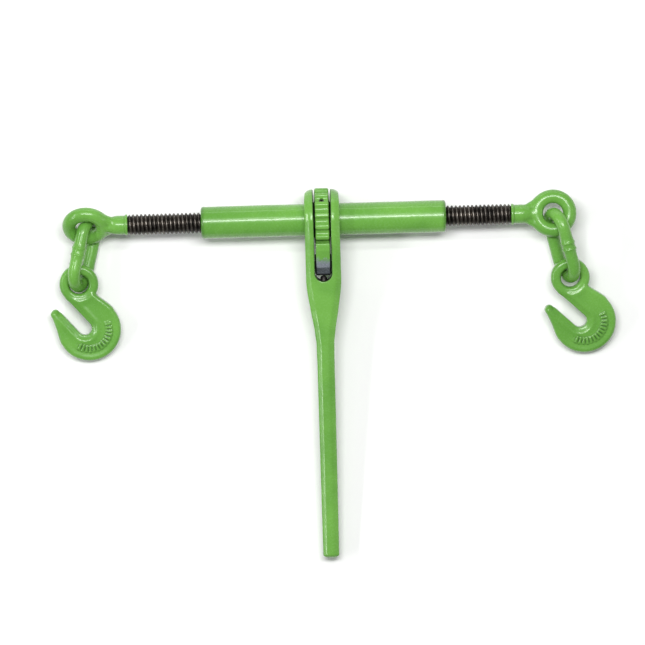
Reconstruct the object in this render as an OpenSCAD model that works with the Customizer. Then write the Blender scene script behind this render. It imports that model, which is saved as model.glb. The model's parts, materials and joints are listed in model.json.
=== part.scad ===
// Ratchet load binder: a threaded barrel turned by a forked ratchet handle, drawing in two eye
// screws that each carry a link and a grab hook. It lies on its side with the handle along -Y.

/* [Barrel] */
// Length of the barrel tube
barrel_len = 254; // [230:1:280]
// Outer radius of the barrel tube
barrel_r = 16.7; // [16:0.1:18]
// Distance from the middle of the ratchet gear to the middle of the barrel
barrel_shift = 1.5; // [0:0.5:3]
// Length of the threaded zone at each end of the barrel
nut_len = 20; // [16:1:22]

/* [Ratchet] */
// Number of gear teeth
teeth = 16; // [16:16]
// Radius of the gear over its teeth
gear_r = 33; // [33:33]
// Width of the gear and of the pawl
gear_w = 14.8; // [13:0.1:15.5]
// Radius of the round gaps between the teeth
gap_r = 3.8; // [3.7:0.1:4]
// Distance from the barrel's axis to the pawl's pivot
pivot_out = 47; // [46.5:0.5:47.5]

/* [Handle] */
// Distance from the barrel's axis to the handle's end
handle_len = 352.5; // [330:0.5:360]
// Width over the two cheeks of the fork
fork_w = 36.4; // [35:0.1:38]
// Width of the slot between the cheeks
slot_w = 17.9; // [17:0.1:18.5]
// Radius of the fork's round head
head_r = 31.6; // [30:0.1:32]
// Angle by which the handle drops from the barrel to the floor
handle_drop = 3.85; // [3.8:0.05:3.9]

/* [Eye screws] */
// Thread pitch, six turns to the inch
pitch = 4.2333; // [4:0.0001:4.5]
// Outer radius of the thread
thread_r = 10.8; // [10.5:0.1:10.8]
// Turns of thread showing outside the barrel at the left
left_turns = 18; // [16:1:20]
// Turns of thread showing outside the barrel at the right
right_turns = 16; // [14:1:20]
// Turns between fully in and fully out
travel_turns = 24; // [20:1:24]
// Distance from the end of the thread to the middle of the eye's ring
neck_len = 43.4; // [42:0.1:46]
// Radius of the ring's centre line
ring_r = 17.25; // [17:0.05:17.5]
// Radius of the ring's round stock
ring_stock = 7.5; // [7:0.1:7.6]
// Turn of the left eye about the barrel's axis
left_eye_turn = 47; // [45:1:49]

/* [Links] */
// Radius of the link's wire
wire_r = 6.6; // [6.2:0.1:6.6]
// Half the distance between the middles of the two legs
link_half_w = 16.1; // [16:0.1:16.3]
// Half the straight length of a leg
link_half_len = 18.3; // [18:0.1:18.6]

/* [Grab hooks] */
// Thickness of the hook
hook_t = 15; // [13:0.5:15]
// Outer radius of the hook's eye
hook_eye_r = 20.25; // [19:0.25:20.5]
// Radius of the hole in the hook's eye
hook_hole_r = 9.5; // [9.3:0.1:9.8]
// Outer radius of the hook's bowl
bowl_r = 32.7; // [31:0.1:33]
// Distance from the eye's middle to the bowl's middle
bowl_out = 48.6; // [48:0.1:49]
// Half the width of the slot that grips the chain
grab_r = 7.3; // [7:0.1:7.5]
// Angle between the slot and the line from eye to bowl
grab_angle = 30.3; // [29:0.1:31]

/* [Hidden] */
$fn = 64;
paint = "yellowgreen";
steel = "dimgray";

// Places: the row's origin is under the middle of the whole binder, on the floor
axis_h = gear_r;
middle = [9.19, -159.57, 0];

// Barrel
nut_bore_r = thread_r + 0.15;
relief_r = 12.8;
edge = 1;
left_end = barrel_shift - barrel_len / 2;
right_end = barrel_shift + barrel_len / 2;
running = 0.08;

// Gear and its pin, which stands in the bottom of one gap
step = 360 / teeth;
roll_pin_r = 2.5;
roll_pin_hole_r = 1.3;
roll_pin_steps = 6;
roll_pin_in = barrel_r - 2.5;
roll_pin_len = gear_r - gap_r - 0.6 - roll_pin_in;

// Pawl: two noses at twice the tooth step on either side of the handle's line
nose_angle = 2 * step;
nose_r = 3;
nose_out = gear_r + 0.5 + nose_r;
relief_out = gear_r + 3.4;
tail_r = 11;
pin_r = 4;
pin_clear = 0.06;

// Detent behind the pawl
plunger_r = 3.5;
plunger_bore_r = 3.6;
plunger_tip = pivot_out + tail_r + 0.1;
plunger_len = 12;
bore_end = 86;
spring_r = 2.8;
spring_wire = 0.5;
spring_coils = 7;

// Screws
travel = travel_turns * pitch;
ring_gap = 0.1;
stop_t = 2;
stop_r = 12.4;
collar_t = 2;
root_r = 8.9;
shank_len = travel + nut_len + ring_gap + stop_t + collar_t;
left_out = left_turns * pitch;
right_out = right_turns * pitch;
left_ring_x = left_end - left_out - neck_len;
right_ring_x = right_end + right_out + neck_len;
neck_r = 10.8;

// Links and hooks: places from the middle of the eye's ring, then heading, slope and roll
left_link_at = [-2.6, -28.4, -11.1];
left_link_turn = [112, -0.8, -103.4];
right_link_at = [8.4, -33.5, -3.6];
right_link_turn = [68.2, 10.3, -76.1];
left_hook_at = [-9.4, -59.7, -13.6];
left_hook_turn = [0, 8.4, -78.7];
right_hook_at = [16.5, -66.8, -10];
right_hook_turn = [0, 11, -73.2];

// Grab hook: the slot is tangent to the eye and ends in a half circle
toward_mouth = [-cos(grab_angle), -sin(grab_angle)];
grab_c = [46.2, -4.3];
throat = grab_r - 0.05;
tip_r = 4.6;
tip_c = [25.3, -30.8];
eye_line_r = (hook_eye_r + hook_hole_r) / 2;
eye_t = 12.4;
eye_edge = 3.6;

// Puts a child drawn about the barrel's axis into the row's frame
module placed() {
  translate([-middle[0], -middle[1], axis_h]) children();
}

// A solid of revolution about X from [x, radius] points
module turned(points) {
  rotate([90, 0, 90]) rotate_extrude() polygon([for (p = points) [p[1], p[0]]]);
}

module barrel() {
  half = barrel_len / 2;
  nut = half - nut_len;
  color(paint) placed() translate([barrel_shift, 0, 0]) difference() {
    turned([[-half, nut_bore_r + edge], [-half, barrel_r - edge], [-half + edge, barrel_r],
      [half - edge, barrel_r], [half, barrel_r - edge], [half, nut_bore_r + edge],
      [half - edge, nut_bore_r], [nut, nut_bore_r], [nut, relief_r], [-nut, relief_r],
      [-nut, nut_bore_r], [-half + edge, nut_bore_r]]);
    translate([-barrel_shift, 0, 0]) roll_pin_hole();
  }
}

module roll_pin_turn() {
  rotate([90 + handle_drop - roll_pin_steps * step, 0, 0]) children();
}

module roll_pin_hole() {
  roll_pin_turn() translate([0, 0, roll_pin_in]) cylinder(r = roll_pin_r, h = gear_r);
}

module ratchet_gear() {
  color(paint) placed() difference() {
    rotate([handle_drop, 0, 0]) difference() {
      rotate([0, 90, 0]) cylinder(r = gear_r, h = gear_w, center = true, $fn = 96);
      rotate([0, 90, 0]) cylinder(r = barrel_r, h = gear_w + 2, center = true);
      for (i = [0 : teeth - 1])
        rotate([i * step, 0, 0]) translate([0, -gear_r, 0]) rotate([0, 90, 0])
          cylinder(r = gap_r, h = gear_w + 2, center = true);
    }
    roll_pin_hole();
  }
}

module gear_roll_pin() {
  color(steel) placed() roll_pin_turn() translate([0, 0, roll_pin_in]) difference() {
    cylinder(r = roll_pin_r, h = roll_pin_len);
    translate([0, 0, -1]) cylinder(r = roll_pin_hole_r, h = gear_r);
  }
}

// The handle seen from above: [distance from the barrel's axis, half width]
function handle_plan() = [[-head_r, fork_w / 2 - 3.5], [4 - head_r, fork_w / 2 - 0.6], [-20, fork_w / 2],
  [64, fork_w / 2], [71, fork_w / 2 - 0.4], [78, 16.8], [95, 14.2], [112, 11.2], [127, 9.4], [150, 9],
  [266, 8.7], [handle_len - 3, 8.3], [handle_len, 5.3]];

// The handle seen from the side: [distance from the barrel's axis, half height]
function handle_side() = [[0, head_r], [16, 28.9], [40, 23.6], [64, 18.6], [95, 14.6], [130, 12.4],
  [180, 11.2], [266, 10.2], [handle_len - 3, 9.5], [handle_len, 6.5]];

function mirrored_outline(rows) = concat([for (r = rows) [r[1], -r[0]]],
  [for (i = [len(rows) - 1 : -1 : 0]) [-rows[i][1], -rows[i][0]]]);

module handle() {
  color(paint) placed() rotate([handle_drop, 0, 0]) difference() {
    intersection() {
      linear_extrude(2 * head_r + 2, center = true) polygon(mirrored_outline(handle_plan()));
      rotate([90, 0, 90]) linear_extrude(fork_w + 2, center = true) {
        circle(r = head_r, $fn = 96);
        polygon([for (p = mirrored_outline(handle_side())) [p[1], p[0]]]);
      }
    }
    rotate([0, 90, 0]) cylinder(r = barrel_r + running, h = fork_w + 2, center = true);
    fork_slot();
    rotate([0, 90, 0]) translate([0, -pivot_out, 0]) cylinder(r = pin_r, h = fork_w + 2, center = true);
    translate([0, 1 - pivot_out, 0]) rotate([90, 0, 0])
      cylinder(r = plunger_bore_r, h = bore_end + 1 - pivot_out);
  }
}

// The slot of the fork, open at the head and round at its end
module fork_slot() {
  slot_end = 63.6 - slot_w / 2;
  translate([-slot_w / 2, -slot_end, -head_r - 2]) cube([slot_w, slot_end + head_r + 2, 2 * head_r + 4]);
  translate([0, -slot_end, 0]) cylinder(r = slot_w / 2, h = 2 * head_r + 4, center = true);
}

module pawl() {
  nose = [-nose_out * cos(nose_angle), nose_out * sin(nose_angle)];
  flank = [[-23.5, 29.5], [-31, 28.8], [-40, 24.8], [-49, 18], [-55.5, 7]];
  color(paint) placed() rotate([handle_drop, 0, 0]) rotate([90, 0, 90]) difference() {
    linear_extrude(gear_w, center = true) {
      difference() {
        union() {
          polygon(concat(flank, [for (i = [len(flank) - 1 : -1 : 0]) [flank[i][0], -flank[i][1]]]));
          translate([-pivot_out, 0]) circle(r = tail_r);
        }
        circle(r = relief_out, $fn = 96);
      }
      for (side = [-1, 1]) translate([nose[0], side * nose[1]]) circle(r = nose_r);
    }
    translate([-pivot_out, 0, 0]) cylinder(r = pin_r + pin_clear, h = gear_w + 2, center = true);
  }
}

module pawl_pin() {
  color(steel) placed() rotate([handle_drop, 0, 0]) translate([0, -pivot_out, 0]) rotate([0, 90, 0])
    cylinder(r = pin_r, h = fork_w, center = true);
}

module detent_plunger() {
  color(steel) placed() rotate([handle_drop, 0, 0]) translate([0, -plunger_tip, 0]) rotate([90, 0, 0])
    rotate_extrude() polygon([[0, 0], [1.4, 0.15], [2.6, 0.8], [plunger_r, 2.4], [plunger_r, plunger_len],
      [0, plunger_len]]);
}

// A round wire wound about -Y from the back of the plunger to the end of its bore
module detent_spring() {
  y0 = plunger_tip + plunger_len + spring_wire + 0.1;
  y1 = bore_end - spring_wire - 0.1;
  sides = 8;
  per_turn = 16;
  rings = spring_coils * per_turn;
  points = [for (i = [0 : rings], k = [0 : sides - 1]) let (a = i * 360 / per_turn, b = k * 360 / sides,
    r = spring_r + spring_wire * cos(b)) [r * cos(a),
    -(y0 + (y1 - y0) * i / rings + spring_wire * sin(b)), r * sin(a)]];
  skin = [for (i = [0 : rings - 1], k = [0 : sides - 1]) let (n = (k + 1) % sides)
    [i * sides + k, i * sides + n, (i + 1) * sides + n, (i + 1) * sides + k]];
  first = [[for (k = [sides - 1 : -1 : 0]) k]];
  last = [[for (k = [0 : sides - 1]) rings * sides + k]];
  color(steel) placed() rotate([handle_drop, 0, 0]) polyhedron(points, concat(skin, first, last));
}

// A screw along +X from its inner end at x = 0 to its ring's middle, with the ring's hole along Z
module eye_screw() {
  groove_0 = collar_t;
  groove_1 = collar_t + stop_t + 2 * ring_gap;
  crests = floor((shank_len - groove_1) / pitch);
  run = (shank_len - groove_1) / crests;
  profile = [for (i = [0 : crests - 1], p = [[0.05, 0], [0.2, 1], [0.58, 1], [0.73, 0]])
    [groove_1 + (i + p[0]) * run, root_r + p[1] * (thread_r - root_r)]];
  turned(concat([[0, 0], [0, thread_r - 0.6], [0.6, thread_r], [groove_0, thread_r], [groove_0, root_r]],
    profile, [[shank_len, root_r], [shank_len, neck_r], [shank_len + 22, neck_r], [shank_len + 25, 0]]));
  translate([shank_len + neck_len, 0, 0]) {
    rotate_extrude() translate([ring_r, 0]) circle(r = ring_stock, $fn = 40);
    hull() {
      translate([21 - neck_len, 0, 0]) rotate([0, 90, 0]) cylinder(r = neck_r - 0.05, h = 0.5, $fn = 32);
      for (a = [-1, 1]) rotate([0, 0, 180 + a * 26]) translate([ring_r, 0, 0]) sphere(r = 6.2, $fn = 24);
      for (a = [-1, 1]) rotate([0, 0, 180 + a * 42]) translate([ring_r + 3, 0, 0])
        sphere(r = 3.6, $fn = 20);
    }
  }
}

module left_eye_screw() {
  color(paint) placed() translate([left_ring_x + neck_len + shank_len, 0, 0]) rotate([left_eye_turn, 0, 0])
    mirror([1, 0, 0]) eye_screw();
}

module right_eye_screw() {
  color(paint) placed() translate([right_ring_x - neck_len - shank_len, 0, 0]) eye_screw();
}

// The ring that sits in the screw's groove and meets the end of the barrel's thread
module stop_ring() {
  translate([collar_t + ring_gap, 0, 0]) rotate([0, 90, 0]) difference() {
    cylinder(r = stop_r, h = stop_t);
    translate([0, 0, -1]) cylinder(r = root_r + 0.1, h = stop_t + 2);
  }
}

module left_stop_ring() {
  color(steel) placed() translate([left_ring_x + neck_len + shank_len, 0, 0]) mirror([1, 0, 0]) stop_ring();
}

module right_stop_ring() {
  color(steel) placed() translate([right_ring_x - neck_len - shank_len, 0, 0]) stop_ring();
}

// A welded link with its long way along X and its legs apart along Y
module link() {
  for (side = [-1, 1]) {
    translate([side * link_half_len, 0, 0]) rotate([0, 0, -side * 90]) rotate_extrude(angle = 180)
      translate([link_half_w, 0]) circle(r = wire_r, $fn = 40);
    translate([-link_half_len, side * link_half_w, 0]) rotate([0, 90, 0])
      cylinder(r = wire_r, h = 2 * link_half_len, $fn = 40);
  }
}

module set_at(ring_x, at, turn) {
  placed() translate([ring_x, 0, 0]) translate(at) rotate([0, 0, turn[2]]) rotate([0, turn[1], 0])
    rotate([turn[0], 0, 0]) children();
}

module left_link() { color(paint) set_at(left_ring_x, left_link_at, left_link_turn) link(); }
module right_link() { color(paint) set_at(right_ring_x, right_link_at, right_link_turn) link(); }

// The flat outline of the hook but for its eye: bowl along +X, slot opening back past the eye
module hook_outline() {
  difference() {
    union() {
      translate([bowl_out, 0]) circle(r = bowl_r, $fn = 96);
      polygon([[0, 0], grab_c + 36 * toward_mouth, grab_c, [48, 20], [32.2, 27.3], [14.8, 15.4]]);
      polygon([[24.4, -35.3], [57, -31.6], [56, -12], grab_c + 24 * toward_mouth]);
      translate(tip_c) circle(r = tip_r);
    }
    translate(grab_c) circle(r = grab_r);
    translate(grab_c) rotate([0, 0, 180 + grab_angle]) translate([0, -throat]) square([70, 2 * throat]);
    circle(r = eye_line_r);
  }
}

module hook() {
  translate([0, 0, -hook_t / 2]) linear_extrude(hook_t) hook_outline();
  rotate_extrude() polygon([[hook_hole_r, eye_edge - eye_t / 2], [hook_hole_r + eye_edge, -eye_t / 2],
    [hook_eye_r - eye_edge, -eye_t / 2], [hook_eye_r, eye_edge - eye_t / 2],
    [hook_eye_r, eye_t / 2 - eye_edge], [hook_eye_r - eye_edge, eye_t / 2],
    [hook_hole_r + eye_edge, eye_t / 2], [hook_hole_r, eye_t / 2 - eye_edge]]);
}

module left_hook() { color(paint) set_at(left_ring_x, left_hook_at, left_hook_turn) hook(); }
module right_hook() { color(paint) set_at(right_ring_x, right_hook_at, right_hook_turn) hook(); }

barrel();
ratchet_gear();
gear_roll_pin();
handle();
pawl();
pawl_pin();
detent_plunger();
detent_spring();
left_eye_screw();
right_eye_screw();
left_stop_ring();
right_stop_ring();
left_link();
right_link();
left_hook();
right_hook();
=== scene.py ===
"""The looks of the ratchet load binder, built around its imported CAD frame.

The forgings are smooth fields sampled on a grid and meshed, the tube and the threads are swept,
and every surface has a procedural material. Lengths are millimetres until a mesh is made. The bumps of
the materials, the lights, the floor and the camera are in metres.
"""
import json
import math

import bpy
import numpy as np
from mathutils import Matrix, Vector


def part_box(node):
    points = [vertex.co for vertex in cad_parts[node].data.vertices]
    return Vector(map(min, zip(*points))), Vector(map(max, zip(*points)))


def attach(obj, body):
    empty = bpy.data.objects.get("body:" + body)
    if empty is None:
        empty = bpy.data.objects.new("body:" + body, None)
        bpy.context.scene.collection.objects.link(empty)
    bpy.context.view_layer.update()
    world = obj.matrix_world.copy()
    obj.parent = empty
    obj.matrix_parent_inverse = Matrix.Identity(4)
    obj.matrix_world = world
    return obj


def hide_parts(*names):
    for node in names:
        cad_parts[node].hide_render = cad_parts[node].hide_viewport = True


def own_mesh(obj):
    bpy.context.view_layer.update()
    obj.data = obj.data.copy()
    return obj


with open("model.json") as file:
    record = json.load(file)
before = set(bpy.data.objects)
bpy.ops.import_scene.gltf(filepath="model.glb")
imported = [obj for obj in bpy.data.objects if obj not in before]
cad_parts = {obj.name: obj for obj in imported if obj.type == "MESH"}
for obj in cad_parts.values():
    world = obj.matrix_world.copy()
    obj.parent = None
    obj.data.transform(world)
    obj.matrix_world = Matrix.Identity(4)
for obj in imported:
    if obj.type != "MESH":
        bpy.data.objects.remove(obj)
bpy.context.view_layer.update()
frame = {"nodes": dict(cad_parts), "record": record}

MM = 0.001
JOINTS = {j["name"]: j for j in frame["record"]["behaviour"]["joints"]}

# Driving dimensions, the same as the CAD's
PITCH = 4.2333
THREAD_R, ROOT_R = 10.8, 8.9
SHANK_LEN, COLLAR_END, GROOVE_END = 125.7, 2.0, 4.2
NECK_LEN, NECK_R = 43.4, 10.8
RING_R, RING_STOCK = 17.25, 7.5
WIRE_R, LINK_HALF_W, LINK_HALF_LEN = 6.6, 16.1, 18.3
BARREL_R, NUT_BORE_R, NUT_LEN = 16.7, 10.95, 20.0
GEAR_R, GEAR_W, TEETH, GAP_R = 33.0, 14.8, 16, 3.8
SLOT_W, SLOT_OUT, HEAD_R, HANDLE_LEN = 17.9, 63.6, 31.6, 352.5
BORE_END, ROLL_PIN_R = 86.0, 2.5
HANDLE_DROP = 3.85
PIVOT_OUT, TAIL_R, PIN_R = 47.0, 11.0, 4.0
HOOK_T, HOOK_EYE_R, HOOK_HOLE_R = 15.0, 20.25, 9.5
BOWL_R, BOWL_OUT, GRAB_R, GRAB_ANGLE = 32.7, 48.6, 7.3, 30.3
LEFT_EYE_TURN = 47.0
LINK_TURN = {"left": (112.0, -0.8, -103.4), "right": (68.2, 10.3, -76.1)}
HOOK_TURN = {"left": (0.0, 8.4, -78.7), "right": (0.0, 11.0, -73.2)}
NOSE_LEAN = math.radians(45)

# Weight of the clear gloss over the green
ENAMEL_COAT = 0.38


# ---------- Places ----------

def rotation(x=0.0, y=0.0, z=0.0):
    """Turn about X, then Y, then Z, in degrees."""
    about_x = Matrix.Rotation(math.radians(x), 3, "X")
    about_y = Matrix.Rotation(math.radians(y), 3, "Y")
    about_z = Matrix.Rotation(math.radians(z), 3, "Z")
    return np.array(about_z @ about_y @ about_x)


def joint_point(name):
    """A joint's place in the frame."""
    return np.array(JOINTS[name]["pos_m"]) / MM


AXIS = joint_point("handle_swing")
HANDLE_PLACE = (rotation(x=HANDLE_DROP), AXIS)
RING_PLACE = {
    "left": (rotation(x=LEFT_EYE_TURN) @ np.diag([-1.0, 1.0, 1.0]), joint_point("left_link_swing")),
    "right": (np.eye(3), joint_point("right_link_swing")),
}


def middle(node):
    """The middle of a CAD node's box."""
    low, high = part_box(node)
    return (np.array(low) + np.array(high)) / 2 / MM


# ---------- Fields: negative inside, in millimetres ----------

def smin(a, b, k):
    """The nearer of two fields, blended over a width of k."""
    h = np.clip(0.5 + 0.5 * (b - a) / k, 0, 1)
    return b * (1 - h) + a * h - k * h * (1 - h)


def smax(a, b, k):
    """What two fields share, blended over a width of k."""
    return -smin(-a, -b, k)


def smoothstep(low, high, v):
    t = np.clip((v - low) / (high - low), 0, 1)
    return t * t * (3 - 2 * t)


def polygon(x, y, points):
    """Distance to a closed outline, negative inside."""
    best, inside = None, None
    count = len(points)
    for i in range(count):
        ax, ay = points[i]
        bx, by = points[(i + 1) % count]
        ex, ey = bx - ax, by - ay
        wx, wy = x - ax, y - ay
        t = np.clip((wx * ex + wy * ey) / (ex * ex + ey * ey), 0, 1)
        d = (wx - ex * t) ** 2 + (wy - ey * t) ** 2
        best = d if best is None else np.minimum(best, d)
        beside = wx * ey < ex * wy if ey > 0 else wx * ey > ex * wy
        crosses = ((ay > y) != (by > y)) & beside
        inside = crosses if inside is None else inside ^ crosses
    return np.sqrt(best) * np.where(inside, -1.0, 1.0)


def rounded(flat, high, r):
    """The two distances of an extrusion joined with an edge of radius r."""
    a, b = flat + r, high + r
    return np.hypot(np.maximum(a, 0), np.maximum(b, 0)) + np.minimum(np.maximum(a, b), 0) - r


def round_cone(x, y, z, a, b, ra, rb):
    """A cone with round ends between two points."""
    a, b = np.array(a, float), np.array(b, float)
    e = b - a
    t = np.clip(((x - a[0]) * e[0] + (y - a[1]) * e[1] + (z - a[2]) * e[2]) / (e @ e), 0, 1)
    d = np.sqrt((x - a[0] - e[0] * t) ** 2 + (y - a[1] - e[1] * t) ** 2 + (z - a[2] - e[2] * t) ** 2)
    return d - ra - (rb - ra) * t


def lumps(x, y, z, size, seed):
    """Gentle unevenness of a hammered and dipped surface, from -1 to 1."""
    p = seed * 1.7
    return (np.sin(x / size + p) * np.sin(y / (0.83 * size) + 2.1 * p) * np.cos(z / (0.91 * size) + 0.6 * p)
            + 0.6 * np.sin((x + y) / (0.57 * size) + p) * np.cos((y - z) / (0.49 * size) - p)) / 1.6


# ---------- Meshes ----------

def edge_cuts(samples, k):
    """The surface's cuts of the grid edges along axis k: which are cut, how far along, which start inside."""
    rows = np.moveaxis(samples, k, 0)
    near, far = rows[:-1], rows[1:]
    cut = (near < 0) != (far < 0)
    part = np.where(cut, near / np.where(cut, near - far, 1), 0)
    return [np.moveaxis(values, 0, k) for values in (cut, part, near < 0)]


def cell_sums(cuts, cells):
    """For each cell, the sum of the cuts on its edges and how many there are."""
    total, hits = np.zeros(cells + (3,)), np.zeros(cells)
    for k, (cut, part, _) in enumerate(cuts):
        grid = np.indices(cut.shape).astype(float)
        grid[k] += part
        point = np.moveaxis(grid, 0, -1)
        first, second = (m for m in range(3) if m != k)
        for i, j in ((0, 0), (0, 1), (1, 0), (1, 1)):
            window = [slice(None)] * 3
            window[first] = slice(i, i + cells[first])
            window[second] = slice(j, j + cells[second])
            on = cut[tuple(window)]
            total += point[tuple(window)] * on[..., None]
            hits += on
    return total, hits


def edge_quads(cuts, k, index, counts):
    """One quad round each cut edge along axis k, joining the four cells that share it."""
    cut, _, starts_inside = cuts[k]
    first, second = (k + 1) % 3, (k + 2) % 3
    at = np.argwhere(cut)
    within = (at[:, first] > 0) & (at[:, second] > 0)
    within &= (at[:, first] < counts[first] - 1) & (at[:, second] < counts[second] - 1)
    at = at[within]
    ring = []
    for i, j in ((1, 1), (0, 1), (0, 0), (1, 0)):
        corner = at.copy()
        corner[:, first] -= i
        corner[:, second] -= j
        ring.append(index[tuple(corner.T)])
    quads = np.stack(ring, 1)
    flip = ~starts_inside[tuple(at.T)]
    quads[flip] = quads[flip][:, ::-1]
    return quads


def onto_surface(field, verts, cell):
    """Moves each vertex down the field's slope onto its zero surface, in two short steps."""
    probe = 0.02
    for _ in range(2):
        here = field(*verts.T)
        slope = np.stack([(field(*(verts + probe * np.eye(3)[k]).T) - here) / probe for k in range(3)], 1)
        size = np.maximum((slope ** 2).sum(1), 0.25)
        move = -(here / size)[:, None] * slope
        length = np.linalg.norm(move, axis=1, keepdims=True)
        verts = verts + move * np.minimum(1, 0.5 * cell / np.maximum(length, 1e-9))
    return verts


def surface_net(field, low, high, cell):
    """Vertices and quads of the field's zero surface, one vertex to each cell that the surface crosses."""
    low, high = np.array(low, float), np.array(high, float)
    counts = np.ceil((high - low) / cell).astype(int) + 1
    x, y, z = (low[k] + cell * np.arange(counts[k]) for k in range(3))
    samples = field(x[:, None, None], y[None, :, None], z[None, None, :])
    samples = np.broadcast_to(samples, tuple(counts)).astype(np.float64)
    cuts = [edge_cuts(samples, k) for k in range(3)]
    total, hits = cell_sums(cuts, tuple(counts - 1))
    used = hits > 0
    index = np.full(used.shape, -1)
    index[used] = np.arange(used.sum())
    verts = low + cell * total[used] / hits[used][:, None]
    faces = np.vstack([edge_quads(cuts, k, index, counts) for k in range(3)])
    return onto_surface(field, verts, cell), faces


def placed(verts, place):
    """Vertices turned and moved into the frame."""
    turn, at = place
    return verts @ turn.T + at


def make_piece(name, verts, faces, material, body, nodes=(), marks=None, flip=False):
    """A mesh piece in the frame, in metres, riding on a body and standing for CAD nodes."""
    mesh = bpy.data.meshes.new(name)
    if flip:
        faces = [tuple(reversed(f)) for f in faces]
    mesh.from_pydata((verts * MM).tolist(), [], [tuple(map(int, f)) for f in faces])
    for key, values in (marks or {}).items():
        layer = mesh.attributes.new(key, "FLOAT", "POINT")
        layer.data.foreach_set("value", np.asarray(values, np.float32))
    mesh.shade_smooth()
    mesh.materials.append(material)
    piece = bpy.data.objects.new(name, mesh)
    bpy.context.scene.collection.objects.link(piece)
    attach(piece, body)
    if nodes:
        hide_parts(*nodes)
    return piece


def cast(name, field, low, high, cell, place, material, body, nodes, marks=None):
    """A forging from its field. marks gives each named mask as a function of the local point."""
    verts, faces = surface_net(field, low, high, cell)
    values = {key: mask(*verts.T) for key, mask in (marks or {}).items()}
    mirrored = np.linalg.det(place[0]) < 0
    return make_piece(name, placed(verts, place), faces, material, body, nodes, values, mirrored)


def lathe(profile, segments):
    """Turns a closed (x, radius) outline about X into vertices and quads."""
    turn = np.linspace(0, 2 * math.pi, segments, endpoint=False)
    verts = np.array([(x, r * math.cos(a), r * math.sin(a)) for a in turn for x, r in profile])
    n = len(profile)
    faces = []
    for i in range(segments):
        this, after = i * n, ((i + 1) % segments) * n
        for k in range(n):
            beyond = (k + 1) % n
            faces.append((this + k, this + beyond, after + beyond, after + k))
    return verts, faces


def sleeve(rings, around):
    """Quads between rings of vertices, each ring with as many vertices as around says."""
    faces = []
    for i in range(rings):
        this, after = i * around, (i + 1) * around
        for k in range(around):
            n = (k + 1) % around
            faces.append((this + k, after + k, after + n, this + n))
    return faces


# ---------- Materials ----------

def shade_nodes(name):
    material = bpy.data.materials.new(name)
    material.use_nodes = True
    return material, material.node_tree.nodes, material.node_tree.links


def noise(nodes, links, coords, scale, detail=4.0):
    node = nodes.new("ShaderNodeTexNoise")
    node.inputs["Scale"].default_value = scale
    node.inputs["Detail"].default_value = detail
    links.new(coords, node.inputs["Vector"])
    return node.outputs["Fac"]


def ramp(nodes, links, value, low, high, start=0.0, end=1.0):
    """Maps value from low..high to start..end, held at the ends."""
    node = nodes.new("ShaderNodeMapRange")
    for key, number in (("From Min", low), ("From Max", high), ("To Min", start), ("To Max", end)):
        node.inputs[key].default_value = number
    links.new(value, node.inputs["Value"])
    return node.outputs["Result"]


def mix(nodes, links, amount, first, second):
    """Two colours mixed by amount. Each colour is a tuple or a socket."""
    node = nodes.new("ShaderNodeMix")
    node.data_type = "RGBA"
    links.new(amount, node.inputs["Factor"])
    for key, colour in (("A", first), ("B", second)):
        socket = next(s for s in node.inputs if s.name == key and s.type == "RGBA")
        if isinstance(colour, tuple):
            socket.default_value = (*colour, 1.0)
        else:
            links.new(colour, socket)
    return next(s for s in node.outputs if s.type == "RGBA")


def math_node(nodes, links, kind, first, second):
    node = nodes.new("ShaderNodeMath")
    node.operation = kind
    for socket, value in zip(node.inputs, (first, second)):
        if isinstance(value, (int, float)):
            socket.default_value = value
        else:
            links.new(value, socket)
    return node.outputs[0]


def bump(nodes, links, shader, height, distance, strength=1.0):
    node = nodes.new("ShaderNodeBump")
    node.inputs["Strength"].default_value = strength
    node.inputs["Distance"].default_value = distance
    links.new(height, node.inputs["Height"])
    links.new(node.outputs["Normal"], shader.inputs["Normal"])


def attribute(nodes, name):
    """The value that a mesh's points carry under this name."""
    node = nodes.new("ShaderNodeAttribute")
    node.attribute_name = name
    return node.outputs["Fac"]


def rub_bare_and_shade(nodes, links, shader, broad, fine, tone, rough):
    """Takes the paint off where the points are marked bare, and paints shade where they are marked dark:
    darker, rougher and without the clear coat.
    """
    low_metal, high_metal, shade_black = (0.27, 0.31, 0.36), (0.44, 0.48, 0.54), (0.018, 0.020, 0.018)
    metal_tone = mix(nodes, links, ramp(nodes, links, broad, 0.3, 0.7), low_metal, high_metal)
    marked = attribute(nodes, "bare")
    ragged = math_node(nodes, links, "ADD", marked, ramp(nodes, links, fine, 0.3, 0.7, -0.25, 0.25))
    metal = ramp(nodes, links, ragged, 0.25, 0.75)
    tone = mix(nodes, links, metal, tone, metal_tone)
    # Painted shade: where marked dark, the tone goes to near black and the gloss is dulled, standing in for
    # the shade in the slot and the gaps.
    painted_shade = attribute(nodes, "dark")
    tone = mix(nodes, links, painted_shade, tone, shade_black)
    links.new(math_node(nodes, links, "MULTIPLY", metal, 0.45), shader.inputs["Metallic"])
    rough = math_node(nodes, links, "ADD", rough, ramp(nodes, links, painted_shade, 0, 1, 0, 0.35))
    links.new(ramp(nodes, links, painted_shade, 0, 1, ENAMEL_COAT, 0), shader.inputs["Coat Weight"])
    return tone, rough


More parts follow.
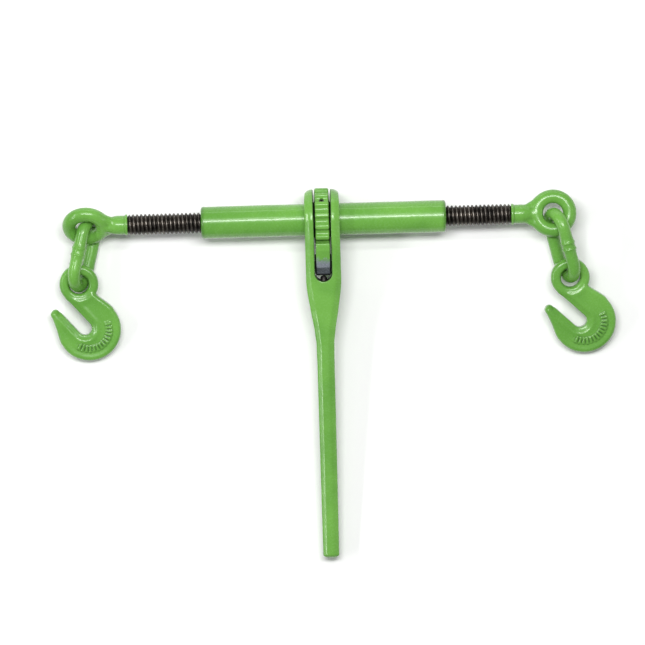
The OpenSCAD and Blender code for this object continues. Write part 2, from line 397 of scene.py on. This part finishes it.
def enamel(name, bare=False):
    """Green dip paint over a forging: lumpy gloss, with painted shade darkening the crevices and a patchy
    painted highlight paling sharp edges.

    With bare, the point attribute "bare" says where the paint is gone and "dark" where shade is painted in.
    """
    low_green, high_green = (0.110, 0.305, 0.046), (0.150, 0.382, 0.063)
    crevice_shade_green, dirty_green, edge_highlight_green = (0.014, 0.055, 0.008), (0.04, 0.14, 0.025), (0.22, 0.45, 0.13)
    material, nodes, links = shade_nodes(name)
    shader = nodes["Principled BSDF"]
    coords = nodes.new("ShaderNodeTexCoord").outputs["Object"]
    broad = noise(nodes, links, coords, 22.0, 3.0)
    fine = noise(nodes, links, coords, 420.0, 3.0)
    speck = noise(nodes, links, coords, 900.0, 2.0)
    tone = mix(nodes, links, ramp(nodes, links, broad, 0.35, 0.65), low_green, high_green)
    pointy = nodes.new("ShaderNodeNewGeometry").outputs["Pointiness"]
    # Painted shade: the green is darkened where the surface is hollow, in crevices and where pieces meet.
    painted_crevice_shade = ramp(nodes, links, pointy, 0.46, 0.495, 1.0, 0.0)
    tone = mix(nodes, links, math_node(nodes, links, "MULTIPLY", painted_crevice_shade, 0.75), tone, crevice_shade_green)
    dirt = ramp(nodes, links, speck, 0.70, 0.76)
    tone = mix(nodes, links, math_node(nodes, links, "MULTIPLY", dirt, 0.5), tone, dirty_green)
    # Painted highlight: sharp edges are paled towards a light green, in patches.
    edge = ramp(nodes, links, pointy, 0.535, 0.60)
    edge_highlight = math_node(nodes, links, "MULTIPLY", edge, ramp(nodes, links, fine, 0.50, 0.62))
    tone = mix(nodes, links, math_node(nodes, links, "MULTIPLY", edge_highlight, 0.45), tone, edge_highlight_green)
    rough = ramp(nodes, links, fine, 0.3, 0.7, 0.20, 0.32)
    if bare:
        tone, rough = rub_bare_and_shade(nodes, links, shader, broad, fine, tone, rough)
    else:
        shader.inputs["Coat Weight"].default_value = ENAMEL_COAT
    links.new(tone, shader.inputs["Base Color"])
    links.new(rough, shader.inputs["Roughness"])
    shader.inputs["Coat IOR"].default_value = 1.38
    shader.inputs["IOR"].default_value = 1.38
    shader.inputs["Coat Roughness"].default_value = 0.07
    height = math_node(nodes, links, "ADD", math_node(nodes, links, "MULTIPLY", broad, 1.6),
                       math_node(nodes, links, "MULTIPLY", fine, 0.22))
    bump(nodes, links, shader, height, 0.0009, 0.55)
    return material


def oiled_thread():
    """Rolled steel thread, black-brown with grease and shiny on its crests."""
    low_grease, high_grease = (0.008, 0.007, 0.006), (0.036, 0.028, 0.021)
    low_crest, high_crest = (0.085, 0.075, 0.065), (0.24, 0.22, 0.195)
    material, nodes, links = shade_nodes("oiled_thread")
    shader = nodes["Principled BSDF"]
    coords = nodes.new("ShaderNodeTexCoord").outputs["Object"]
    broad = noise(nodes, links, coords, 90.0, 4.0)
    fine = noise(nodes, links, coords, 900.0, 3.0)
    crest = attribute(nodes, "crest")
    dark = mix(nodes, links, ramp(nodes, links, broad, 0.35, 0.65), low_grease, high_grease)
    bright = mix(nodes, links, ramp(nodes, links, fine, 0.35, 0.65), low_crest, high_crest)
    patches = ramp(nodes, links, broad, 0.38, 0.66, 0.25, 1.0)
    rubbed = math_node(nodes, links, "MULTIPLY", crest, patches)
    links.new(mix(nodes, links, rubbed, dark, bright), shader.inputs["Base Color"])
    shader.inputs["Metallic"].default_value = 0.85
    links.new(ramp(nodes, links, fine, 0.3, 0.7, 0.26, 0.48), shader.inputs["Roughness"])
    bump(nodes, links, shader, fine, 0.0003, 0.5)
    return material


def steel(name, low, high, rough_low, rough_high, grain=300.0):
    """Bare steel between two tones, mottled, with a fine grain."""
    material, nodes, links = shade_nodes(name)
    shader = nodes["Principled BSDF"]
    coords = nodes.new("ShaderNodeTexCoord").outputs["Object"]
    broad = noise(nodes, links, coords, grain / 5, 4.0)
    fine = noise(nodes, links, coords, grain * 3, 3.0)
    mottle = ramp(nodes, links, broad, 0.35, 0.65)
    links.new(mix(nodes, links, mottle, low, high), shader.inputs["Base Color"])
    shader.inputs["Metallic"].default_value = 0.9
    links.new(ramp(nodes, links, fine, 0.3, 0.7, rough_low, rough_high), shader.inputs["Roughness"])
    bump(nodes, links, shader, fine, 0.0003, 0.4)
    return material


GREEN = enamel("green_enamel")
# Bare where the paint is rubbed off, and with painted shade where the points are marked dark.
WORN_AND_SHADED_GREEN = enamel("worn_and_shaded_green_enamel", bare=True)
THREAD = oiled_thread()
DARK_STEEL = steel("dark_steel", (0.030, 0.028, 0.026), (0.10, 0.095, 0.09), 0.35, 0.55)
BRIGHT_STEEL = steel("bright_steel", (0.30, 0.31, 0.32), (0.50, 0.51, 0.52), 0.22, 0.40)
SPRING_STEEL = steel("spring_steel", (0.16, 0.16, 0.17), (0.30, 0.30, 0.31), 0.25, 0.40, 800.0)


# ---------- Pieces ----------

def barrel_piece():
    """The tube with its two nuts: rolled round at the ends, with the tube's faint ripples."""
    low, high = (np.array(c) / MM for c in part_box("barrel"))
    left, right = low[0], high[0]
    r, chamfer, relief = 2.6, 1.0, 1.8
    nut = NUT_LEN - 0.1
    rising = np.linspace(math.pi / 2, 0, 7)
    falling = np.linspace(0, math.pi / 2, 7)
    outline = [(left + r - r * math.sin(a), BARREL_R - r + r * math.cos(a)) for a in rising]
    along = np.linspace(left + r, right - r, 140)[1:-1]
    ripple = 0.10 * np.sin(along / 9.0) * np.sin(along / 23.0 + 1.0) - 0.05
    outline += list(zip(along, BARREL_R + ripple))
    outline += [(right - r + r * math.sin(a), BARREL_R - r + r * math.cos(a)) for a in falling]
    outline += [(right, NUT_BORE_R + chamfer), (right - chamfer, NUT_BORE_R), (right - nut, NUT_BORE_R),
                (right - nut, NUT_BORE_R + relief), (left + nut, NUT_BORE_R + relief),
                (left + nut, NUT_BORE_R), (left + chamfer, NUT_BORE_R), (left, NUT_BORE_R + chamfer)]
    verts, faces = lathe(outline, 96)
    verts = verts + np.array([0, AXIS[1], AXIS[2]])
    make_piece("barrel_tube", verts, faces, GREEN, "barrel", ["barrel"])


def gear_field(x, y, z):
    """The toothed disc round the tube, with a weld bead at each side and the roll pin's hole."""
    weld_r = 1.3
    radius = np.hypot(y, z)
    step = 2 * math.pi / TEETH
    turn = np.arctan2(z, -y)
    turn = turn - step * np.round(turn / step)
    gap = np.hypot(radius * np.cos(turn) - GEAR_R, radius * np.sin(turn)) - GAP_R
    rim = smax(radius - GEAR_R, -gap, 2.0)
    disc = rounded(rim, np.abs(x) - GEAR_W / 2, 1.8)
    weld = np.hypot(radius - BARREL_R - 0.6, np.abs(x) - GEAR_W / 2 - 0.2) - weld_r
    wheel = np.maximum(smin(disc, weld, 1.0), BARREL_R - 0.05 - radius)
    return smax(wheel, -roll_pin_hole(x, y, z), 0.4)


def roll_pin_hole(x, y, z):
    """The roll pin's hole, in a gap an eighth of a turn past the top."""
    lean = 2 * 2 * math.pi / TEETH
    across = np.hypot(x, y * math.cos(lean) - z * math.sin(lean))
    return np.maximum(across - ROLL_PIN_R, -(y * math.sin(lean) + z * math.cos(lean)))


def shaded_side(x, start, full):
    """How much painted shade a flat side of the gear or the pawl takes, where it faces a cheek across a
    narrow gap: from start to full millimetres inside its face.
    """
    return smoothstep(GEAR_W / 2 - start, GEAR_W / 2 - full, np.abs(x))


def never(x, y, z):
    return 0 * x


def gear_piece():
    half = GEAR_R + 2
    # Painted shade on the gear's flat sides, which face the fork's cheeks across narrow gaps.
    marks = {"bare": never, "dark": lambda x, y, z: 0.93 * shaded_side(x, 0.55, 0.05)}
    cast("ratchet_gear_wheel", gear_field, (-10.5, -half, -half), (10.5, half, half), 0.62, HANDLE_PLACE,
         WORN_AND_SHADED_GREEN, "barrel", ["ratchet_gear"], marks)


# The handle's outlines from above and from the side: distance out from the barrel's axis, half width
PLAN = [(-31.6, 14.7), (-27.6, 17.6), (-20, 18.2), (64, 18.2), (71, 17.8), (78, 16.8), (95, 14.2),
        (112, 11.2), (127, 9.4), (150, 9), (266, 8.7), (349.5, 8.3), (352.5, 5.3)]
SIDE = [(0, 31.6), (16, 28.9), (40, 23.6), (64, 18.6), (95, 14.6), (130, 12.4), (180, 11.2), (266, 10.2),
        (349.5, 9.5), (352.5, 6.5)]


def beside_slot(x, out):
    """Distance to the fork's slot, open at the head and round at its end."""
    end = SLOT_OUT - SLOT_W / 2
    return np.where(out < end, np.abs(x), np.hypot(x, out - end)) - SLOT_W / 2


def handle_field(x, y, z):
    """Fork and grip: where the plan and the side outlines meet, with a long ridge down each corner."""
    out = -y
    wide = np.interp(out, *zip(*PLAN))
    tall = np.interp(out, *zip(*SIDE))
    head = np.sqrt(np.maximum(HEAD_R ** 2 - np.minimum(out, 0) ** 2, 0.01))
    tall = np.where(out < 0, head, tall)
    corner, side_slope, bevel_slope = 2.2, 0.96, 0.894
    flat = np.abs(x) - wide
    round_head = np.hypot(np.minimum(out, 0), z) - HEAD_R
    side = np.where(out < 0, round_head, (np.abs(z) - tall) * side_slope)
    body = rounded(flat + 0 * z, side + 0 * x, corner)
    start = np.interp(out, [64, 110, 130], [12.5, 5.0, 3.0])
    bevel = (side + 0.5 * (np.abs(x) - start)) * bevel_slope
    body = smax(body, bevel, 0.9)
    body = smax(body, out - HANDLE_LEN, 3.0)
    body = smax(body, -beside_slot(x, out), 1.0)
    bore = np.hypot(y, z) - BARREL_R - 0.08
    body = smax(body, -bore, 1.2)
    pin = np.hypot(out - PIVOT_OUT, z) - PIN_R
    body = smax(body, -pin, 0.5)
    well_r, well_from, far_away = 3.7, 30, 9.0
    well = np.maximum(np.hypot(x, z) - well_r, out - BORE_END)
    body = smax(body, -np.where(out > well_from, well, far_away), 0.4)
    return body + 0.12 * lumps(x, y, z, 11.0, 1.0)


def slot_shade(x, y, z):
    """Painted shade on the walls of the fork's slot, darker deeper in."""
    out = -y
    wall = beside_slot(x, out)
    depth = np.interp(out, *zip(*SIDE)) - np.abs(z)
    return 0.95 * smoothstep(1.1, 0.3, wall) * smoothstep(-0.2, 1.2, depth)


def handle_piece():
    # Painted shade darkens the slot's walls, deepest inside the fork.
    marks = {"bare": never, "dark": slot_shade}
    cast("ratchet_handle", handle_field, (-20, -356, -34), (20, 34, 34), 0.95, HANDLE_PLACE,
         WORN_AND_SHADED_GREEN, "handle", ["handle"], marks)


def pawl_pin_piece():
    """The pawl's riveted pin, across the cheeks."""
    half, shoulder, tip_r, body_r, middle_r = 18.1, 17.3, 2.6, PIN_R - 0.02, 0.01
    verts, faces = lathe([(-half, middle_r), (-half, tip_r), (-shoulder, body_r), (shoulder, body_r),
                          (half, tip_r), (half, middle_r)], 40)
    make_piece("pawl_pivot_pin", verts + middle("pawl_pin"), faces, DARK_STEEL, "handle", ["pawl_pin"])


def pawl_field(x, y, z):
    """The double-nosed pawl with its round tail and a wider hub at its pin."""
    nose_out, nose_r, relief_r, hub_half = 36.5, 3.0, 36.4, 8.7
    flank = [(-23.5, 29.5), (-31, 28.8), (-40, 24.8), (-49, 18), (-55.5, 7)]
    outline = polygon(y + 0 * z, z + 0 * y, flank + [(a, -b) for a, b in reversed(flank)])
    tail = np.hypot(y + PIVOT_OUT, z) - TAIL_R
    block = smin(outline, tail, 2.0)
    relief = np.hypot(y, z) - relief_r
    block = smax(block, -relief, 0.8)
    nose_y, nose_z = nose_out * math.cos(NOSE_LEAN), nose_out * math.sin(NOSE_LEAN)
    nose = np.hypot(y + nose_y, np.abs(z) - nose_z) - nose_r
    block = smin(block, nose, 1.6)
    shape = rounded(block + 0 * x, np.abs(x) - GEAR_W / 2 + 0 * y, 1.2)
    along = np.clip(y, -PIVOT_OUT, -43.5)
    boss = np.maximum(np.hypot(y - along, z) - 9.4, relief_r + 0.2 - np.hypot(y, z))
    hub = rounded(boss + 0 * x, np.abs(x) - hub_half + 0 * y, 0.5)
    shape = smin(shape, hub, 0.6)
    hole = np.hypot(y + PIVOT_OUT, z) - PIN_R - 0.06
    return smax(shape, -hole, 0.5) + 0.08 * lumps(x, y, z, 7.0, 2.0)


def pawl_shade(x, y, z):
    """Painted shade on the pawl's flat sides and on the end of its tail, deep in the fork's slot."""
    return np.maximum(0.9 * smoothstep(-55.0, -57.8, y), 0.93 * shaded_side(x, 0.6, 0.1))


def pawl_piece():
    # Bare metal towards the pawl's tail, and painted shade on its flat sides and the end of its tail.
    marks = {"bare": lambda x, y, z: smoothstep(-33.0, -50.0, y), "dark": pawl_shade}
    cast("reversing_pawl", pawl_field, (-9, -60, -32), (9, -20, 32), 0.6, HANDLE_PLACE,
         WORN_AND_SHADED_GREEN, "pawl", ["pawl"], marks)


def eye_field(x, y, z):
    """A forged ring at the origin with its neck along -X, swelling where they meet."""
    ring = np.hypot(np.hypot(x, y) - RING_R, z) - RING_STOCK + 0.15
    neck_r = NECK_R - 0.9 * smoothstep(-43.5, -38.0, x) - 4.4 * smoothstep(-33, -14, x)
    neck = np.maximum(np.hypot(y, z) - neck_r, np.maximum(-NECK_LEN - x, x + 12))
    cheek_a = round_cone(x, y, z, (-27, 4.5, 0), (-13.5, 13.0, 0), 5.2, 4.5)
    cheek_b = round_cone(x, y, z, (-27, -4.5, 0), (-13.5, -13.0, 0), 5.2, 4.5)
    body = smin(smin(ring, neck, 2.6), smin(cheek_a, cheek_b, 2.0), 1.8)
    collar = np.hypot(np.hypot(y, z) - 10.0, x + 41.9) - 0.9
    groove = np.hypot(np.hypot(y, z) - 11.0, x + 39.6) - 1.1
    body = smax(smin(body, collar, 0.8), -groove, 0.5)
    body = smax(body, -NECK_LEN - x, 0.6)
    body = smax(body, -(np.hypot(x, y) - (RING_R - RING_STOCK) - 0.02), 2.0)
    return body + 0.14 * lumps(x, y, z, 8.0, 3.0)


def thread_radius(x, phase):
    """The thread's radius and crest mask, x along the shank, with the stop ring's groove and its collar."""
    left_over = SHANK_LEN - x
    rise = np.interp(phase, [0, 0.10, 0.36, 0.64, 0.90, 1.0], [0, 0, 1, 1, 0, 0])
    rise = rise * smoothstep(0, 2.5, x) * (left_over > GROOVE_END - 0.005)
    rise = np.where(left_over < COLLAR_END + 0.005, 1.0, rise)
    radius = ROOT_R + (THREAD_R - ROOT_R) * rise - np.maximum(0, 0.6 - left_over)
    return radius, rise + 0 * radius


def thread_piece(name, side, hand):
    """The rolled thread as a true helix, left-handed where hand is -1."""
    around, rings_a_turn = 72, 16
    edges = SHANK_LEN - np.array([0.6, COLLAR_END, COLLAR_END + 0.01, GROOVE_END - 0.01, GROOVE_END])
    even = np.linspace(0, SHANK_LEN, int(SHANK_LEN / PITCH * rings_a_turn) + 1)
    x = np.unique(np.append(even, edges))[:, None]
    rings = len(x) - 1
    angle = np.linspace(0, 2 * math.pi, around, endpoint=False)[None, :]
    radius, crest = thread_radius(x, (x / PITCH + hand * angle / (2 * math.pi)) % 1.0)
    grid = np.stack([-NECK_LEN - x + 0 * angle, radius * np.cos(angle), radius * np.sin(angle)], -1)
    end_middles = [[-NECK_LEN, 0, 0], [-NECK_LEN - SHANK_LEN, 0, 0]]
    verts = np.vstack([grid.reshape(-1, 3), end_middles])
    faces = sleeve(rings, around)
    first, last = len(verts) - 2, len(verts) - 1
    faces += [(first, k, (k + 1) % around) for k in range(around)]
    faces += [(last, rings * around + (k + 1) % around, rings * around + k) for k in range(around)]
    marks = {"crest": np.append(crest.reshape(-1), [0, 0])}
    place = RING_PLACE[side]
    make_piece(name, placed(verts, place), faces, THREAD, f"{side}_eye_screw", (), marks,
               np.linalg.det(place[0]) > 0)


def screw_pieces(side, hand):
    cast(f"{side}_forged_eye", eye_field, (-46, -27, -13), (27, 27, 13), 0.72, RING_PLACE[side], GREEN,
         f"{side}_eye_screw", [f"{side}_eye_screw"])
    thread_piece(f"{side}_rolled_thread", side, hand)


def link_field(x, y, z):
    """One welded link, long way along X, with the weld's swelling and upset ridges on one leg."""
    out = np.maximum(np.abs(x) - LINK_HALF_LEN, 0)
    line = np.hypot(np.hypot(out, y) - LINK_HALF_W, z)
    wire = line - WIRE_R + 0.15
    one_leg = smoothstep(4.0, 10.0, y)
    swelling = smoothstep(9.0, 4.5, np.abs(x)) * one_leg
    ridge = np.exp(-((np.abs(x) - 3.4) / 1.1) ** 2) * one_leg
    return wire - 0.45 * swelling - 0.75 * ridge + 0.12 * lumps(x, y, z, 7.0, 4.0)


def link_piece(side):
    place = (rotation(*LINK_TURN[side]), middle(f"{side}_link"))
    cast(f"{side}_welded_link", link_field, (-43, -26, -9), (43, 26, 9), 0.68, place, GREEN,
         f"{side}_link", [f"{side}_link"])


def hook_outline(x, y):
    """The hook seen flat: distances to its plate and to the slot that grips the chain."""
    mouth = np.array([-math.cos(math.radians(GRAB_ANGLE)), -math.sin(math.radians(GRAB_ANGLE))])
    grab = np.array([46.2, -4.3])
    slot_side, point_side = tuple(grab + 36 * mouth), tuple(grab + 24 * mouth)
    bowl = np.hypot(x - BOWL_OUT, y) - BOWL_R
    shank = polygon(x, y, [(0, 0), slot_side, tuple(grab), (48, 20), (32.2, 27.3), (14.8, 15.4)])
    point = polygon(x, y, [(24.4, -35.3), (57, -31.6), (56, -12), point_side])
    tip = np.hypot(x - 25.3, y + 30.8) - 4.6
    plate = smin(smin(bowl, shank, 4.0), smin(point, tip, 2.0), 1.5)
    along = (x - grab[0]) * mouth[0] + (y - grab[1]) * mouth[1]
    across = np.abs((x - grab[0]) * mouth[1] - (y - grab[1]) * mouth[0])
    slot = np.where(along < 0, np.hypot(along, across), across) - GRAB_R
    return plate, slot


def hook_field(x, y, z):
    """A drop forging: a plate with rounded edges, a bevelled band round the chain slot and a round eye."""
    x, y = x + 0 * y, y + 0 * x
    edge_r, eye_half_t = 4.2, 6.2
    eye_line, eye_half = (HOOK_EYE_R + HOOK_HOLE_R) / 2, (HOOK_EYE_R - HOOK_HOLE_R) / 2
    plate, slot = hook_outline(x, y)
    eye_out = np.hypot(x, y)
    plate = smax(plate, eye_line - eye_out, 0.8)
    band = smoothstep(7.4, 0.0, slot)
    dish = smoothstep(-1.0, -9.0, plate) * smoothstep(5, 11, slot)
    thick = HOOK_T / 2 - 2.6 * band - 0.9 * dish
    body = rounded(plate + 0 * z, np.abs(z) - thick, edge_r)
    body = smax(body, -slot + 0 * z, 1.0)
    ring = rounded(np.abs(eye_out - eye_line) - eye_half + 0 * z, np.abs(z) - eye_half_t, edge_r)
    body = smin(body, ring, 2.4)
    body = smax(body, HOOK_HOLE_R - eye_out + 0 * z, 2.2)
    body = body - 0.95 * hook_ribs(x, y) * smoothstep(2.0, 5.0, np.abs(z))
    return body + 0.13 * lumps(x, y, z, 9.0, 5.0)


def hook_ribs(x, y):
    """A plain raised crescent pad with a row of ribs on the bowl, where a forging carries its mark."""
    ribs_round, pad_middle, pad_line = 34, 26, 20.3
    from_middle = np.hypot(x - BOWL_OUT, y)
    turn = np.degrees(np.arctan2(y, x - BOWL_OUT))
    ribs = 0.5 + 0.5 * np.cos(np.radians(turn) * ribs_round)
    pad = smoothstep(80, 74, np.abs(turn - pad_middle)) * smoothstep(3.9, 2.9, np.abs(from_middle - pad_line))
    return pad * (0.25 + 0.75 * smoothstep(0.35, 0.75, ribs))


def hook_piece(side):
    place = (rotation(*HOOK_TURN[side]), joint_point(f"{side}_hook_swing"))
    cast(f"{side}_grab_hook", hook_field, (-23, -40, -10), (84, 36, 10), 0.72, place, GREEN,
         f"{side}_hook", [f"{side}_hook"])


def spring_piece():
    """The plunger's coil: round wire wound closer at both ends."""
    turns, per_turn, sides = 7, 28, 10
    near, far, coil_r, wire_r = 70.75, 85.35, 2.8, 0.5
    part = np.linspace(0, 1, turns * per_turn + 1)
    run = near + (far - near) * (0.86 * part + 0.14 * smoothstep(0, 1, part))
    angle = 2 * math.pi * turns * part
    verts = []
    for along, a in zip(run, angle):
        for b in np.linspace(0, 2 * math.pi, sides, endpoint=False):
            r = coil_r + wire_r * math.cos(b)
            verts.append((r * math.cos(a), -(along + wire_r * math.sin(b)), r * math.sin(a)))
    rings = len(part) - 1
    faces = [(a, d, c, b) for a, b, c, d in sleeve(rings, sides)]
    faces.append(tuple(range(sides - 1, -1, -1)))
    faces.append(tuple(rings * sides + k for k in range(sides)))
    spring = make_piece("detent_coil", placed(np.array(verts), HANDLE_PLACE), faces, SPRING_STEEL, "handle",
                        ["detent_spring"])
    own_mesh(spring)


def small_steel():
    """The CAD's own pin, plunger and rings, given their metals."""
    for node, material, slot in (("gear_roll_pin", DARK_STEEL, "dark_steel"),
                                 ("detent_plunger", DARK_STEEL, "dark_steel"),
                                 ("left_stop_ring", BRIGHT_STEEL, "bright_steel"),
                                 ("right_stop_ring", BRIGHT_STEEL, "bright_steel")):
        piece = frame["nodes"][node]
        piece.data.materials.clear()
        piece.data.materials.append(material)


# ---------- Studio ----------

def paper_floor():
    """A wide, nearly white floor under the binder."""
    material, nodes, links = shade_nodes("paper_floor")
    shader = nodes["Principled BSDF"]
    coords = nodes.new("ShaderNodeTexCoord").outputs["Object"]
    tone = ramp(nodes, links, noise(nodes, links, coords, 3.0), 0.3, 0.7)
    links.new(mix(nodes, links, tone, (0.86, 0.86, 0.86), (0.89, 0.89, 0.89)), shader.inputs["Base Color"])
    shader.inputs["Roughness"].default_value = 0.9
    bpy.ops.mesh.primitive_plane_add(size=24.0, location=(0, 0, -0.0005))
    plane = bpy.context.object
    plane.name = "floor"
    plane.data.materials.append(material)


def area_light(name, at, size, power, aim=(0.0, 0.0, 0.03)):
    data = bpy.data.lights.new(name, "AREA")
    data.shape = "RECTANGLE"
    data.size, data.size_y = size
    data.energy = power
    lamp = bpy.data.objects.new(name, data)
    lamp.location = at
    lamp.rotation_euler = (Vector(aim) - Vector(at)).to_track_quat("-Z", "Y").to_euler()
    bpy.context.scene.collection.objects.link(lamp)


def studio():
    """The floor, five soft lights and a dim white surrounding."""
    paper_floor()
    area_light("over_soft", (0.0, 0.50, 2.3), (1.6, 0.40), 46.0)
    area_light("over_strip", (0.0, 0.86, 1.75), (2.6, 0.08), 7.0)
    area_light("top_strip", (0.0, 1.9, 0.40), (2.6, 0.12), 6.0)
    area_light("left_strip", (-1.7, 0.0, 1.35), (1.8, 0.14), 16.0)
    area_light("right_strip", (1.9, 0.0, 1.0), (1.8, 0.12), 3.0)
    world = bpy.data.worlds.new("studio_air")
    bpy.context.scene.world = world
    world.use_nodes = True
    air = world.node_tree.nodes["Background"]
    air.inputs["Color"].default_value = (1.0, 1.0, 1.0, 1.0)
    air.inputs["Strength"].default_value = 0.18
    bpy.context.scene.view_settings.view_transform = "Standard"


def camera():
    """Straight down from far off, turned as the photo is, with the whole binder in a square frame."""
    wide, distance, aim = 0.6692, 6.0, Vector((-0.01165, 0.05274, 0.033))
    data = bpy.data.cameras.new("photo_camera")
    data.sensor_fit = "HORIZONTAL"
    data.angle = 2 * math.atan(wide / 2 / distance)
    data.clip_end = 50.0
    eye = bpy.data.objects.new("photo_camera", data)
    photo_up = (0.0279, 0.9996, 0.0)
    up = Vector(photo_up).normalized()
    back = Vector((0.0, 0.0, 1.0))
    side = up.cross(back)
    turn = Matrix((side, up, back)).transposed().to_4x4()
    eye.matrix_world = Matrix.Translation(aim + back * distance) @ turn
    bpy.context.scene.collection.objects.link(eye)
    bpy.context.scene.camera = eye


camera()
barrel_piece()
gear_piece()
handle_piece()
pawl_pin_piece()
pawl_piece()
spring_piece()
screw_pieces("left", -1)
screw_pieces("right", 1)
for side in ("left", "right"):
    link_piece(side)
    hook_piece(side)
small_steel()
studio()
